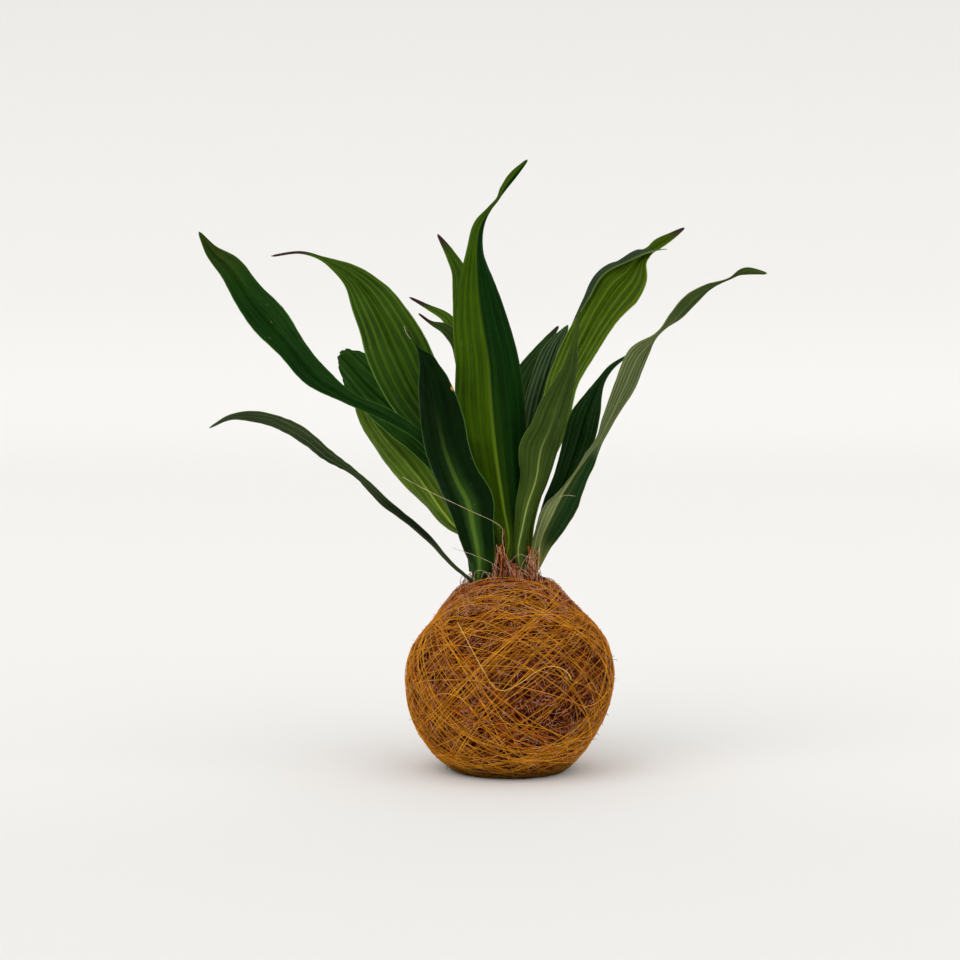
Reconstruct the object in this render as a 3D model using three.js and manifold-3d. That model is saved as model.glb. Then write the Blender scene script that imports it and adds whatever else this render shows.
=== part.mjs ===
// A house plant without a pot: three leafy shoots growing out of a ball of soil that is wrapped in
// coconut fibre and wound all over with thread.
// Millimetres, +Z up. The origin is the middle of the flat spot that the ball rests on, and -Y is the front.
import * as THREE from "three";
import { mergeVertices } from "three/addons/utils/BufferGeometryUtils.js";
import Module from "manifold-3d";

// Ball
const ballRadius = 59.6;
const ballCentre = 50; // height of the ball's centre over the flat spot
const shoulderRise = 4.4; // how much the fibre stands up towards the neck
const shoulderStart = 38; // degrees from straight up where that rise begins
const shoulderEnd = 18;
const lean = 1.4; // the ball is fuller on its right side
const squash = 1.2; // and above its middle
const shoulderDip = 3.1; // how far the thread draws the shoulder in
const dipMiddle = 48; // degrees from straight up where it is drawn in most
const dipTurn = 3; // that place is higher on the right side and lower on the left
const dipReach = 15.5;
const dipSpread = 2.5; // it reaches farther on the right side too
const cheekDip = 2.8; // the lower right side is flatter too
const cheekMiddle = 115;
const cheekReach = 28;
const lumpHeight = 0.5;
const wrapThickness = 7;
const seatGap = 0.35; // clearance between pieces that touch
const soilTop = 103; // height of the soil inside the neck
const neck = { x: -4, y: 0, halfLength: 24, halfWidth: 12.5, depth: 4, sides: 28 };
const outerRows = [14, 24, 34, 44, 55, 67, 79, 91, 103, 115, 127, 139, 150, 165]; // degrees from straight up
const outerColumns = 40;
const soilRows = [18, 32, 48, 64, 80, 96, 112, 128, 143, 160];
const soilColumns = 24;

// Shoots: the stem's place, its radius at the foot and the top, and the heights it spans
const stems = {
  stem_left: { x: -18, y: -4, foot: 4, top: 2.6, from: 86, to: 121 },
  stem_middle: { x: -4, y: 3, foot: 4.2, top: 2.6, from: 84, to: 126 },
  stem_right: { x: 10, y: 1, foot: 4.2, top: 2.6, from: 85, to: 124 },
};
const stemSides = 9;

// Blades
const bladeThickness = 0.8;
const bladeStrips = 6; // strips across a blade
const stationsPerRow = 2; // cross-sections for each row of a leaf
const pleatHeight = 0.55;
const edgeWave = 1.3; // how far a margin swings up and down
const tornCorner = 0.1; // where across the blade a torn end reaches farthest
const tornRound = 1.5; // and how far it falls back from there
const waveLength = 46;
const fullHalfWidth = 10; // from this half width on, pleats and waves have their full height

// Leaves. Each row is a point on the midrib, from the stem to the tip, with the blade there:
// x, y, z, blade width, facing, fold of the two halves. A facing of 0 turns the upper side to the front
// and 180 the underside.
const leaves = {
  leaf_01_far_left: {
    rows: [
      [-22.2, -2.8, 115.5, 5, -86, 36],
      [-22.7, -2.9, 121, 6, -85, 36],
      [-25, -2, 137, 8, -75, 32],
      [-30, -3, 155, 9, -60, 28],
      [-38, -7, 174.5, 8.5, -48, 28],
      [-49, -10, 190.8, 8, -38, 26],
      [-68, -13, 204.8, 8.4, -32, 24],
      [-92, -20, 216.6, 9.2, -28, 22],
      [-110, -26, 229, 15.4, -26, 20],
      [-124.5, -33, 246.5, 19, -26, 18],
      [-136, -38, 261, 22, -26, 17],
      [-146.5, -44, 275, 19.6, -26, 16],
      [-156, -50, 290, 15, -25, 15],
      [-164.5, -55, 299, 8, -22, 14],
      [-171, -59, 310, 1.4, -20, 10],
    ],
  },
  leaf_02_upper_left: {
    rows: [
      [-9, 3, 119, 7, -90, 36],
      [-11, 6, 136, 9, -60, 26],
      [-18, 9, 156, 16, -35, 24],
      [-27, 11, 176, 24, -22, 20],
      [-40, 13, 197, 30, -16, 18],
      [-54.2, 16, 219, 36.4, -14, 14],
      [-65.3, 20, 242, 37.8, -12, 12],
      [-72.7, 24, 258.5, 31.5, -12, 12],
      [-80.8, 28, 272.5, 26, -14, 12],
      [-89.4, 32, 283, 16, -18, 14],
      [-100.3, 37, 291, 8, -24, 16],
      [-109.8, 41, 296, 3, -28, 14],
      [-120.3, 44, 299.3, 2, -30, 12],
      [-140, 50, 297.5, 1.2, -30, 10],
    ],
  },
  leaf_03_torn_left: {
    torn: 9.5,
    rows: [
      [-9, 3.5, 110, 6, -85, 36],
      [-14, 7, 130, 9, -55, 30],
      [-21, 11, 147, 13, -38, 28],
      [-31, 15, 168, 20, -25, 24],
      [-46, 19, 187, 26, -20, 20],
      [-63.5, 25, 205, 30, -18, 16],
      [-80, 32, 220.5, 29, -16, 12],
      [-93, 38, 234, 22, -16, 10],
    ],
  },
  leaf_04_low_left: {
    rows: [
      [-19.8, 1, 110, 6, -115, 36],
      [-21.5, 6, 130, 9, -132, 32],
      [-35, 9.5, 146, 21, -150, 26],
      [-45.4, 14.8, 160, 25, -156, 22],
      [-56.4, 22.4, 174, 28.5, -158, 20],
      [-68.4, 29.5, 187.5, 28, -160, 18],
      [-79.2, 36, 201.5, 22, -160, 16],
      [-86, 43, 213, 15, -160, 14],
      [-93, 49, 226, 1.4, -160, 10],
    ],
  },
  leaf_05_front_dark: {
    rows: [
      [-17, -9, 111.3, 8.6, -172, 34],
      [-16.8, -10.6, 114.6, 12.2, -171, 31],
      [-16.4, -12.6, 119, 15.2, -171, 28],
      [-17.7, -15.8, 129.4, 20.8, -170, 26],
      [-20, -18.5, 141, 23.7, -170, 26],
      [-22.6, -21, 154.7, 29.6, -170, 26],
      [-30.5, -24, 171.7, 28, -168, 25],
      [-36.5, -26, 188.5, 27.6, -166, 23],
      [-39.3, -29, 203, 27.6, -164, 21],
      [-41, -32, 214, 25.4, -162, 19],
      [-43, -35.5, 225.2, 19.4, -160, 18],
      [-45.2, -39, 234, 12.2, -160, 18],
      [-47.3, -42, 239.8, 8.5, -156, 18],
      [-50.5, -45.5, 245, 2, -150, 16],
      [-56.5, -52, 256, 1.2, -140, 10],
    ],
  },
  leaf_06_tall_centre: {
    rows: [
      [-4, -2.5, 117, 6, 180, 36],
      [0, -5, 131, 13, 180, 30],
      [-3, -6, 154, 30, 180, 22],
      [-7, -8, 181, 38, 180, 20],
      [-10, -9, 209, 42, 178, 18],
      [-12, -9, 238, 38, 176, 18],
      [-16, -8, 264, 31, 174, 18],
      [-18, -7, 283, 22, 170, 20],
      [-18.5, -5, 301, 10.5, 164, 22],
      [-16.2, -1, 315, 7, 150, 20],
      [-10.4, 2, 324, 4.6, 120, 16],
      [-5.8, 5, 330, 4, 115, 12],
      [-3, 7, 335.5, 4, 150, 12],
      [2, 10, 342.5, 4.6, 160, 12],
      [11, 13, 352.5, 1.4, 160, 10],
    ],
  },
  leaf_07_back_slim: {
    rows: [
      [-3, 8, 122, 6, 5, 34],
      [-3.5, 12.5, 138, 8, -5, 28],
      [-11, 18, 165, 10, -8, 24],
      [-17, 22, 190, 11, -10, 22],
      [-23, 28, 220, 12, -14, 20],
      [-27.7, 34, 253.5, 11.5, -18, 18],
      [-27, 38, 274.5, 13, -20, 16],
      [-28.7, 42, 287, 10.8, -24, 14],
      [-34.7, 46, 299, 6.4, -28, 14],
      [-41.5, 49, 310.5, 1.2, -28, 10],
    ],
  },
  leaf_08_back_curled: {
    rows: [
      [-4, 8.5, 110, 6, -5, 34],
      [-6, 22, 134, 9, -10, 30],
      [-11, 31, 160, 13, -10, 24],
      [-18, 42, 195, 16, -12, 20],
      [-25, 50, 230, 13, -18, 18],
      [-31.5, 58, 249.5, 10, -35, 16],
      [-36.5, 64, 260, 8.8, -45, 14],
      [-47.5, 70, 266.8, 4, -35, 12],
      [-59, 75, 273, 1, -30, 10],
    ],
  },
  leaf_09_back_low: {
    rows: [
      [-3.5, 8.5, 115, 6, 0, 34],
      [-7, 17.5, 135, 9, -12, 28],
      [-11, 23, 161, 13, -15, 24],
      [-15, 29, 190, 17, -15, 20],
      [-19.5, 36, 216, 17, -18, 18],
      [-25.5, 42, 236, 13, -24, 16],
      [-32, 46, 249, 9.6, -30, 14],
      [-38, 49, 254.6, 6.6, -34, 12],
      [-45.5, 53, 258, 2.6, -30, 10],
      [-53, 57, 263.5, 1.2, -30, 10],
    ],
  },
  leaf_10_back_right: {
    rows: [
      [5.5, 5.5, 110, 5, -40, 34],
      [3, 17, 132, 7, -10, 30],
      [4, 26, 155, 12, 5, 26],
      [7, 34, 178, 16, 12, 22],
      [10, 43, 201, 19, 15, 20],
      [12.8, 49, 221.5, 20.5, 18, 18],
      [19.8, 55, 237.5, 12.8, 22, 16],
      [24.5, 58, 247.5, 6, 24, 14],
      [30.5, 61, 256, 1.4, 24, 10],
    ],
  },
  leaf_11_back_right_short: {
    rows: [
      [9.5, 6.5, 113, 5, 5, 34],
      [8, 12.5, 133, 7, 10, 28],
      [9, 19, 156, 12, 12, 26],
      [13.5, 23, 184, 16, 15, 22],
      [18, 28, 210, 18, 18, 20],
      [23.5, 34, 229, 17, 20, 18],
      [28.5, 38, 243.5, 12, 22, 14],
      [35.5, 42, 257, 1.4, 22, 10],
    ],
  },
  leaf_12_front_right: {
    rows: [
      [7.5, -4, 113, 6, 200, 36],
      [5.5, -8, 127, 6.5, 188, 32],
      [8, -10, 142, 10, 178, 30],
      [10.5, -12, 154, 14, 174, 28],
      [15.5, -14, 170, 18, 170, 26],
      [18.5, -16, 188, 25, 166, 24],
      [23, -18, 199, 21, 164, 22],
      [26.5, -19, 209, 19, 163, 22],
      [31, -21, 222, 14, 162, 20],
      [35, -23, 234, 10, 160, 18],
      [37, -25, 245.5, 5, 158, 16],
      [39.5, -28, 267.5, 1.4, 155, 10],
    ],
  },
  leaf_13_upper_right: {
    rows: [
      [12, 6, 121.5, 5, 25, 34],
      [13.5, 7.5, 147, 9, 28, 28],
      [19, 12, 170, 12, 25, 26],
      [27, 16, 196, 17.5, 22, 22],
      [33.8, 21, 226, 20.5, 20, 18],
      [43.2, 24, 246, 21.5, 20, 15],
      [54.8, 26, 266.5, 25, 20, 14],
      [63, 29, 278.3, 28.3, 20, 14],
      [71, 32, 286.6, 22.3, 20, 14],
      [76.7, 34.5, 295, 12, 22, 16],
      [82.7, 36.5, 299.8, 6.2, 28, 16],
      [88.7, 38, 304.4, 7.5, 32, 14],
      [96.8, 40.5, 309.3, 4.8, 35, 12],
      [104, 43, 314, 1.4, 40, 10],
    ],
  },
  leaf_14_dark_right: {
    rows: [
      [14.8, 1, 114, 5, 85, 30],
      [18.5, 2, 128, 8, 60, 26],
      [23, 4, 142, 12, 40, 26],
      [33, 5, 167, 15, 25, 24],
      [41, 6, 189, 19, 18, 20],
      [45.5, 7, 205.5, 17.5, 15, 18],
      [49.5, 11, 216, 10.5, 15, 16],
      [54, 14, 225, 5, 20, 12],
      [59.5, 18, 232, 3.5, 30, 12],
      [69.5, 22, 239.5, 1.4, 40, 10],
    ],
  },
  leaf_15_long_right: {
    rows: [
      [14.5, -2, 108.5, 6, 115, 36],
      [16.8, -5, 120, 8, 165, 32],
      [18.8, -9, 134, 16, 200, 34],
      [25, -13, 149, 21, 200, 32],
      [31.9, -14, 162.5, 21, 220, 34],
      [43, -13, 179, 11.8, 228, 28],
      [51.6, -12.5, 192, 4.6, 192, 18],
      [57.5, -12.8, 204, 8, 155, 16],
      [67, -15, 224, 13.5, 168, 18],
      [74, -19, 240.5, 12.5, 160, 18],
      [85.6, -24, 254.2, 5, 115, 12],
      [94, -28, 262.4, 8.4, 150, 16],
      [103.2, -32, 272.6, 8, 158, 18],
      [111, -36, 279, 4.8, 145, 14],
      [123, -40, 284.2, 2.2, 120, 10],
      [130.5, -44, 288.2, 4.2, 165, 10],
      [143, -47, 287.2, 1.2, 170, 8],
    ],
  },
  leaf_16_arching_left: {
    rows: [
      [-21.4, -4, 109.8, 4, -92, 26],
      [-34, -8, 121, 6, -105, 28],
      [-45, -9, 133, 7, -108, 28],
      [-61, -12, 147, 9, -115, 24],
      [-70, -14, 154, 11.5, -120, 22],
      [-79, -17, 163.2, 10.5, -112, 22],
      [-87, -19, 172, 8, -104, 20],
      [-96, -22, 178, 11.6, -115, 20],
      [-104.5, -25, 183, 15.2, -124, 20],
      [-112.5, -28, 190.6, 13, -126, 18],
      [-125, -31.5, 198.6, 14, -126, 18],
      [-142, -35, 205.2, 14.5, -124, 16],
      [-155.5, -38, 206.3, 6, -120, 14],
      [-168, -41, 200.9, 1.2, -116, 10],
    ],
  },
};

// Thread: turns round the ball, each the cut of a tilted plane
const thread = {
  width: 1.4,
  height: 1.1,
  lift: 0.8, // how far it rides over the wrap's surface
  turns: 9,
  steps: 36, // straight pieces in a turn
  leastTilt: 22, // degrees
  mostTilt: 46,
  aside: 0.16, // how far a turn may lie off the ball's middle, as a part of its radius
  seed: 7,
};

const wasm = await Module();
wasm.setup();

const radians = THREE.MathUtils.degToRad;
const smoothstep = THREE.MathUtils.smoothstep;

// A number from 0 to 1 for each call, the same on each run
function seededRandom(seed) {
  let state = seed;
  return () => {
    state = (state * 16807) % 2147483647;
    return state / 2147483647;
  };
}

// Solids
function solidOf(geometry) {
  const bare = geometry.clone();
  bare.deleteAttribute("normal");
  bare.deleteAttribute("uv");
  const merged = mergeVertices(bare, 1e-4);
  return new wasm.Manifold(
    new wasm.Mesh({
      numProp: 3,
      vertProperties: new Float32Array(merged.attributes.position.array),
      triVerts: new Uint32Array(merged.index.array),
    }),
  );
}

function geometryOf(solid) {
  const mesh = solid.getMesh();
  const geometry = new THREE.BufferGeometry();
  geometry.setAttribute("position", new THREE.BufferAttribute(mesh.vertProperties, 3));
  geometry.setIndex(new THREE.BufferAttribute(mesh.triVerts, 1));
  const flat = geometry.toNonIndexed();
  flat.computeVertexNormals();
  return flat;
}

function biggestPiece(solid) {
  const pieces = solid.decompose();
  return pieces.reduce((best, piece) => (piece.volume() > best.volume() ? piece : best));
}

function geometryFrom(points, triangles) {
  const geometry = new THREE.BufferGeometry();
  geometry.setAttribute("position", new THREE.Float32BufferAttribute(points.flat(), 3));
  geometry.setIndex(triangles.flat());
  return geometry;
}

// A smooth hump of height 1 at the middle, in degrees from straight up
function hump(fromTop, middle, reach) {
  return Math.exp(-(((THREE.MathUtils.radToDeg(fromTop) - middle) / reach) ** 2));
}

// The ball's outer surface, as its distance from the ball's centre in a direction
function outerDistance(around, fromTop) {
  const right = Math.cos(around);
  const dip = shoulderDip * hump(fromTop, dipMiddle - dipTurn * right, dipReach + dipSpread * right);
  const cheek = cheekDip * Math.max(right, 0) * hump(fromTop, cheekMiddle, cheekReach);
  const rise = shoulderRise * (1 - smoothstep(fromTop, radians(shoulderEnd), radians(shoulderStart)));
  const lumps = Math.sin(3 * around + 1) * Math.sin(2 * fromTop) + 0.7 * Math.cos(2 * around - 3 * fromTop);
  const uneven = (lean * right + lumpHeight * lumps) * Math.sin(fromTop) + squash * Math.sin(2 * fromTop);
  const round = ballRadius + rise + uneven - dip - cheek;
  const down = -Math.cos(fromTop);
  return down > 0 ? Math.min(round, ballCentre / down) : round;
}

function soilDistance(around, fromTop) {
  const inside = outerDistance(around, fromTop) - wrapThickness - seatGap;
  const up = Math.cos(fromTop);
  return up > 0 ? Math.min(inside, (soilTop - ballCentre) / up) : inside;
}

function onBall(around, fromTop, distance) {
  return [
    distance * Math.sin(fromTop) * Math.cos(around),
    distance * Math.sin(fromTop) * Math.sin(around),
    ballCentre + distance * Math.cos(fromTop),
  ];
}

// A closed body round the ball's centre. The rows are degrees from straight up, without the two poles.
function starSolid(distanceAt, rows, columns) {
  const points = [onBall(0, 0, distanceAt(0, 0))];
  for (const row of rows) {
    for (let i = 0; i < columns; i++) {
      const around = (2 * Math.PI * i) / columns;
      points.push(onBall(around, radians(row), distanceAt(around, radians(row))));
    }
  }
  points.push(onBall(0, Math.PI, distanceAt(0, Math.PI)));
  const last = points.length - 1;
  const at = (row, i) => 1 + row * columns + (i % columns);
  const triangles = [];
  for (let i = 0; i < columns; i++) {
    triangles.push([0, at(0, i), at(0, i + 1)]);
    triangles.push([last, at(rows.length - 1, i + 1), at(rows.length - 1, i)]);
    for (let row = 0; row < rows.length - 1; row++) {
      triangles.push([at(row, i), at(row + 1, i), at(row + 1, i + 1)]);
      triangles.push([at(row, i), at(row + 1, i + 1), at(row, i + 1)]);
    }
  }
  return solidOf(geometryFrom(points, triangles));
}

function neckOpening() {
  const outline = new THREE.Shape();
  outline.absellipse(0, 0, neck.halfLength, neck.halfWidth, 0, 2 * Math.PI);
  const hole = new THREE.ExtrudeGeometry(outline, {
    depth: ballRadius,
    bevelEnabled: false,
    curveSegments: neck.sides,
  });
  hole.translate(neck.x, neck.y, soilTop - neck.depth);
  return solidOf(hole);
}

// Stems
function stemSolid(stem, grow = 0) {
  const height = stem.to - stem.from + grow;
  const cane = new THREE.CylinderGeometry(stem.top + grow, stem.foot + grow, height, stemSides);
  cane.rotateX(Math.PI / 2);
  cane.translate(stem.x, stem.y, stem.from - grow + height / 2);
  return solidOf(cane);
}

// A smooth curve through the rows of a leaf, measured along the midrib
function rowCurve(rows) {
  const reach = [0];
  for (let i = 1; i < rows.length; i++) {
    reach.push(reach[i - 1] + Math.hypot(...[0, 1, 2].map((k) => rows[i][k] - rows[i - 1][k])));
  }
  const rise = (i, k) => (rows[i + 1][k] - rows[i][k]) / (reach[i + 1] - reach[i]);
  const slope = (i, k) => {
    if (i === 0) return rise(0, k);
    if (i === rows.length - 1) return rise(i - 1, k);
    const before = reach[i] - reach[i - 1];
    const after = reach[i + 1] - reach[i];
    return (rise(i - 1, k) * after + rise(i, k) * before) / (before + after);
  };
  const at = (place) => {
    const i = Math.min(Math.floor(place), rows.length - 2);
    const t = place - i;
    const span = reach[i + 1] - reach[i];
    return rows[i].map(
      (value, k) =>
        value * (1 + 2 * t) * (1 - t) ** 2 +
        rows[i + 1][k] * t * t * (3 - 2 * t) +
        span * (slope(i, k) * t * (1 - t) ** 2 - slope(i + 1, k) * t * t * (1 - t)),
    );
  };
  const along = (place) => {
    const i = Math.min(Math.floor(place), rows.length - 2);
    return reach[i] + (reach[i + 1] - reach[i]) * (place - i);
  };
  return { at, along };
}

// The blade's middle surface: one line of points across the leaf for each station
function bladeGrid(leaf) {
  const curve = rowCurve(leaf.rows);
  const stations = (leaf.rows.length - 1) * stationsPerRow;
  const back = new THREE.Vector3(0, 1, 0);
  const grid = [];
  for (let s = 0; s <= stations; s++) {
    const place = s / stationsPerRow;
    const [x, y, z, width, facing, fold] = curve.at(place);
    const ahead = new THREE.Vector3(...curve.at(Math.min(place + 0.05, leaf.rows.length - 1)));
    const behind = new THREE.Vector3(...curve.at(Math.max(place - 0.05, 0)));
    const along = ahead.sub(behind).normalize();
    const side = new THREE.Vector3().crossVectors(back, along).normalize();
    const upper = new THREE.Vector3().crossVectors(side, along);
    const turn = radians(facing);
    const across = side.clone().multiplyScalar(Math.cos(turn)).addScaledVector(upper, Math.sin(turn));
    const up = upper.clone().multiplyScalar(Math.cos(turn)).addScaledVector(side, -Math.sin(turn));
    const half = Math.max(width, bladeThickness) / 2;
    const fullness = Math.min(1, half / fullHalfWidth);
    const phase = (2 * Math.PI * curve.along(place)) / waveLength;
    const line = [];
    for (let j = 0; j <= bladeStrips; j++) {
      const v = (2 * j) / bladeStrips - 1;
      const pleat = -pleatHeight * fullness * Math.cos(v * Math.PI * (bladeStrips / 2));
      const wave = edgeWave * fullness * Math.abs(v) ** 3 * Math.sin(phase + (v > 0 ? 0 : 2));
      const lift = half * Math.abs(v) * Math.sin(radians(fold)) + pleat + wave;
      const point = new THREE.Vector3(x, y, z)
        .addScaledVector(across, half * v * Math.cos(radians(fold)))
        .addScaledVector(up, lift);
      if (leaf.torn && s === stations) {
        point.addScaledVector(along, leaf.torn * (1 - tornRound * (v - tornCorner) ** 2));
      }
      line.push(point);
    }
    grid.push(line);
  }
  return grid;
}

// The blade as a closed body: the middle surface, thickened, with a pointed or a torn tip
function leafSolid(leaf) {
  const grid = bladeGrid(leaf);
  const last = grid.length - 1;
  const points = [];
  for (const face of [1, -1]) {
    for (let s = 0; s <= last; s++) {
      for (let j = 0; j <= bladeStrips; j++) {
        const along = grid[Math.min(s + 1, last)][j].clone().sub(grid[Math.max(s - 1, 0)][j]);
        const across = grid[s][Math.min(j + 1, bladeStrips)].clone().sub(grid[s][Math.max(j - 1, 0)]);
        const normal = across.cross(along).normalize();
        points.push(grid[s][j].clone().addScaledVector(normal, (face * bladeThickness) / 2).toArray());
      }
    }
  }
  const row = bladeStrips + 1;
  const top = (s, j) => s * row + j;
  const under = (s, j) => (last + 1) * row + s * row + j;
  const pointed = !leaf.torn;
  const end = pointed ? last - 1 : last;
  const triangles = [];
  for (let s = 0; s < end; s++) {
    for (let j = 0; j < bladeStrips; j++) {
      triangles.push([top(s, j), top(s, j + 1), top(s + 1, j + 1)]);
      triangles.push([top(s, j), top(s + 1, j + 1), top(s + 1, j)]);
      triangles.push([under(s, j), under(s + 1, j + 1), under(s, j + 1)]);
      triangles.push([under(s, j), under(s + 1, j), under(s + 1, j + 1)]);
    }
    for (const [j, out] of [[0, true], [bladeStrips, false]]) {
      const ring = [top(s, j), top(s + 1, j), under(s + 1, j), under(s, j)];
      const [a, b, c, d] = out ? ring : ring.slice().reverse();
      triangles.push([a, b, c], [a, c, d]);
    }
  }
  for (let j = 0; j < bladeStrips; j++) {
    triangles.push([top(0, j + 1), top(0, j), under(0, j)], [top(0, j + 1), under(0, j), under(0, j + 1)]);
    if (!pointed) {
      triangles.push([top(last, j), top(last, j + 1), under(last, j + 1)]);
      triangles.push([top(last, j), under(last, j + 1), under(last, j)]);
    }
  }
  if (pointed) {
    const tip = points.length;
    points.push(grid[last][bladeStrips / 2].toArray());
    for (let j = 0; j < bladeStrips; j++) {
      triangles.push([top(end, j), top(end, j + 1), tip], [under(end, j + 1), under(end, j), tip]);
    }
    triangles.push([under(end, 0), top(end, 0), tip], [top(end, bladeStrips), under(end, bladeStrips), tip]);
  }
  return solidOf(geometryFrom(points, triangles));
}

// One turn of thread: a ring that follows the ball's surface, with a three-sided section
function threadTurn(tilt, around, shift) {
  const slant = Math.sin(tilt);
  const normal = new THREE.Vector3(slant * Math.cos(around), slant * Math.sin(around), Math.cos(tilt));
  const first = new THREE.Vector3(-Math.sin(around), Math.cos(around), 0);
  const second = new THREE.Vector3().crossVectors(normal, first);
  const ring = Math.sqrt(1 - shift * shift);
  const points = [];
  for (let i = 0; i < thread.steps; i++) {
    const turn = (2 * Math.PI * i) / thread.steps;
    const out = normal.clone().multiplyScalar(shift);
    out.addScaledVector(first, ring * Math.cos(turn));
    out.addScaledVector(second, ring * Math.sin(turn)).normalize();
    const distance = outerDistance(Math.atan2(out.y, out.x), Math.acos(out.z)) + thread.lift;
    const sideways = normal.clone().addScaledVector(out, -normal.dot(out)).normalize();
    const base = out.clone().multiplyScalar(distance).setZ(out.z * distance + ballCentre);
    points.push(base.clone().addScaledVector(sideways, thread.width / 2).toArray());
    points.push(base.clone().addScaledVector(out, thread.height).toArray());
    points.push(base.clone().addScaledVector(sideways, -thread.width / 2).toArray());
  }
  const triangles = [];
  for (let i = 0; i < thread.steps; i++) {
    for (let k = 0; k < 3; k++) {
      const a = 3 * i + k;
      const b = 3 * i + ((k + 1) % 3);
      const c = 3 * ((i + 1) % thread.steps) + k;
      const d = 3 * ((i + 1) % thread.steps) + ((k + 1) % 3);
      triangles.push([a, b, d], [a, d, c]);
    }
  }
  return solidOf(geometryFrom(points, triangles));
}

function threadWinding() {
  const random = seededRandom(thread.seed);
  let winding = null;
  for (let i = 0; i < thread.turns; i++) {
    const tilt = radians(thread.leastTilt + (thread.mostTilt - thread.leastTilt) * random());
    const around = (2 * Math.PI * (i + 0.5 * random())) / thread.turns;
    const turn = threadTurn(tilt, around, thread.aside * (random() - 0.5));
    winding = winding ? winding.add(turn) : turn;
  }
  return winding;
}

// Finishes
const finishes = {
  soil: new THREE.MeshStandardMaterial({ color: 0x2e2219, roughness: 1, metalness: 0 }),
  fibre: new THREE.MeshStandardMaterial({ color: 0x7a4424, roughness: 0.95, metalness: 0 }),
  thread: new THREE.MeshStandardMaterial({ color: 0xc07c12, roughness: 0.7, metalness: 0 }),
  stem: new THREE.MeshStandardMaterial({ color: 0x5d6b2c, roughness: 0.6, metalness: 0 }),
  leaf: new THREE.MeshStandardMaterial({ color: 0x27420f, roughness: 0.42, metalness: 0 }),
};

const plant = new THREE.Group();
function addPiece(name, solid, finish) {
  const mesh = new THREE.Mesh(geometryOf(solid), finish);
  mesh.name = name;
  plant.add(mesh);
}

// Leaves end at their stem, just clear of it
const stemRoom = Object.values(stems).map((stem) => stemSolid(stem, seatGap));
for (const [name, leaf] of Object.entries(leaves)) {
  const blade = stemRoom.reduce((rest, room) => rest.subtract(room), leafSolid(leaf));
  addPiece(name, biggestPiece(blade), finishes.leaf);
}

for (const [name, stem] of Object.entries(stems)) addPiece(name, stemSolid(stem), finishes.stem);

const soil = starSolid(soilDistance, soilRows, soilColumns);
addPiece("soil_core", stemRoom.reduce((rest, room) => rest.subtract(room), soil), finishes.soil);

const cavity = starSolid((around, fromTop) => soilDistance(around, fromTop) + seatGap, soilRows, soilColumns);
const wrap = starSolid(outerDistance, outerRows, outerColumns).subtract(cavity).subtract(neckOpening());
addPiece("coir_wrap", biggestPiece(wrap), finishes.fibre);

addPiece("thread_winding", threadWinding(), finishes.thread);

export default plant;
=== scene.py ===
import math
import bpy
import numpy as np
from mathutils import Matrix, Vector, noise


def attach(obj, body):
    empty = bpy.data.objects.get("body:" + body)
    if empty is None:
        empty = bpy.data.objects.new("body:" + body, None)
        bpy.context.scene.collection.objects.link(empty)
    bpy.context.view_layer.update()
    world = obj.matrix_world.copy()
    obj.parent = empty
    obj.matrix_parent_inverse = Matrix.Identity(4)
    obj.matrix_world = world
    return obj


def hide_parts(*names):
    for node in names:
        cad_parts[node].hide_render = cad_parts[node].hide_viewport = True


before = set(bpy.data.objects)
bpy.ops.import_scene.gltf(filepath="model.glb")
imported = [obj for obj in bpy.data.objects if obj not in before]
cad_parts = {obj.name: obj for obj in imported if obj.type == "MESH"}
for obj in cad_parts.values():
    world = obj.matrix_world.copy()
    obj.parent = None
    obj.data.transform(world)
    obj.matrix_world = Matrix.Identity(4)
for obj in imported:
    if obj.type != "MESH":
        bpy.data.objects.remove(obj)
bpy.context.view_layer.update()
mm = 0.001


def srgb(red, green, blue):
    channels = [c / 255 for c in (red, green, blue)]
    return tuple(c / 12.92 if c <= 0.04045 else ((c + 0.055) / 1.055) ** 2.4 for c in channels) + (1.0,)


# Camera: level with the upper leaves, looking slightly down. Near and far are in metres, the rest in mm
view = {
    "target": (-16.4, 0, 168.4), "distance": 1500, "pitch": 4.5,
    "lens": 97.5, "sensor": 36, "near": 0.05, "far": 50,
}

pitch = math.radians(view["pitch"])
bpy.ops.object.camera_add(rotation=(math.pi / 2 - pitch, 0, 0))
camera = bpy.context.object
camera.location = [
    view["target"][0] * mm,
    -view["distance"] * mm * math.cos(pitch),
    view["target"][2] * mm + view["distance"] * mm * math.sin(pitch),
]
camera.data.lens = view["lens"]
camera.data.sensor_width = view["sensor"]
camera.data.clip_start, camera.data.clip_end = view["near"], view["far"]
bpy.context.scene.camera = camera
bpy.context.scene.view_settings.view_transform = "Standard"


# A socket whose maths reads as plain Python
class Wire:
    def __init__(self, finish, socket):
        self.finish, self.socket = finish, socket

    def math(self, operation, *values):
        return self.finish.node("Math", {"operation": operation}, dict(enumerate(values)))

    def __add__(self, other):
        return self.math("ADD", self, other)

    __radd__ = __add__

    def __sub__(self, other):
        return self.math("SUBTRACT", self, other)

    def __rsub__(self, other):
        return self.math("SUBTRACT", other, self)

    def __mul__(self, other):
        return self.math("MULTIPLY", self, other)

    __rmul__ = __mul__

    def __truediv__(self, other):
        return self.math("DIVIDE", self, other)

    def __rtruediv__(self, other):
        return self.math("DIVIDE", other, self)

    def __abs__(self):
        return self.math("ABSOLUTE", self)

    def sine(self):
        return self.math("SINE", self)

    def ramp(self, low, high):  # 0 at low, 1 at high, smooth between
        settings = {"interpolation_type": "SMOOTHSTEP"}
        return self.finish.node("MapRange", settings, {"Value": self, "From Min": low, "From Max": high})


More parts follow.
